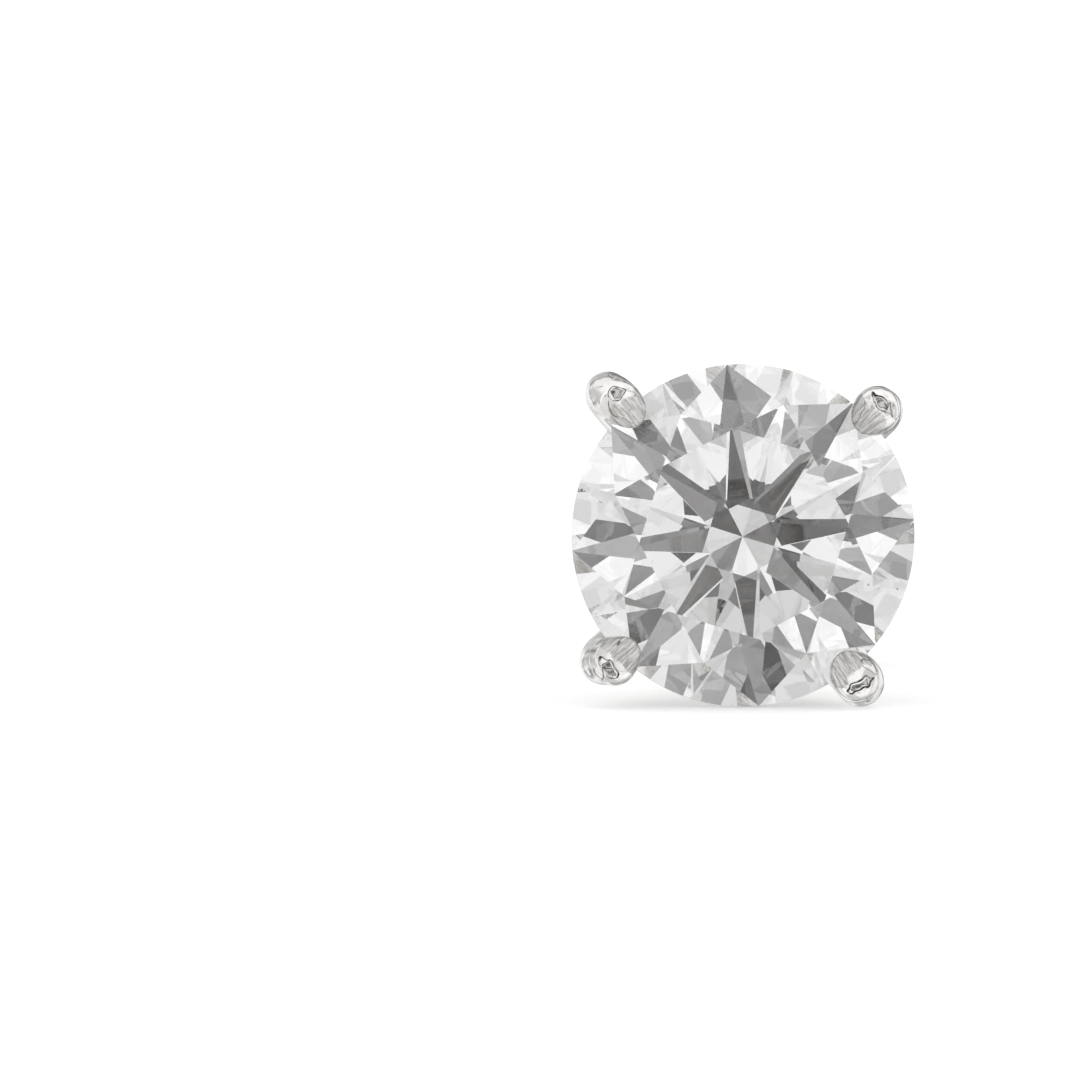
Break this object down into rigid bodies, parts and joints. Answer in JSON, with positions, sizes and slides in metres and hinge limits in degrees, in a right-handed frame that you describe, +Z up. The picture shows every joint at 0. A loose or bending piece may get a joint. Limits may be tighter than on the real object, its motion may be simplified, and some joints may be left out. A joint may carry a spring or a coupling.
{
  "type": "stud earring",
  "caption": "Round brilliant stone in a four-claw wire setting, with a straight post and a butterfly friction back.",
  "frame": {"origin": "centre of the whole earring's box at floor level, as it lies on its side", "axes": "+Z up, +Y along the post in plan, from the face to the post's end, so the stone faces -Y and tips up by 6 degrees"},
  "size_m": [0.0064, 0.0156, 0.0065],
  "materials": {
    "clear_stone": "clear polished facets, high refraction",
    "white_metal": "bright polished white metal, filed claw ends",
    "white_metal_back": "bright polished white metal sheet"
  },
  "bodies": {
    "root": {"stone": "clear_stone", "prong_setting": "white_metal", "friction_back": "white_metal_back"}
  },
  "joints": []
}
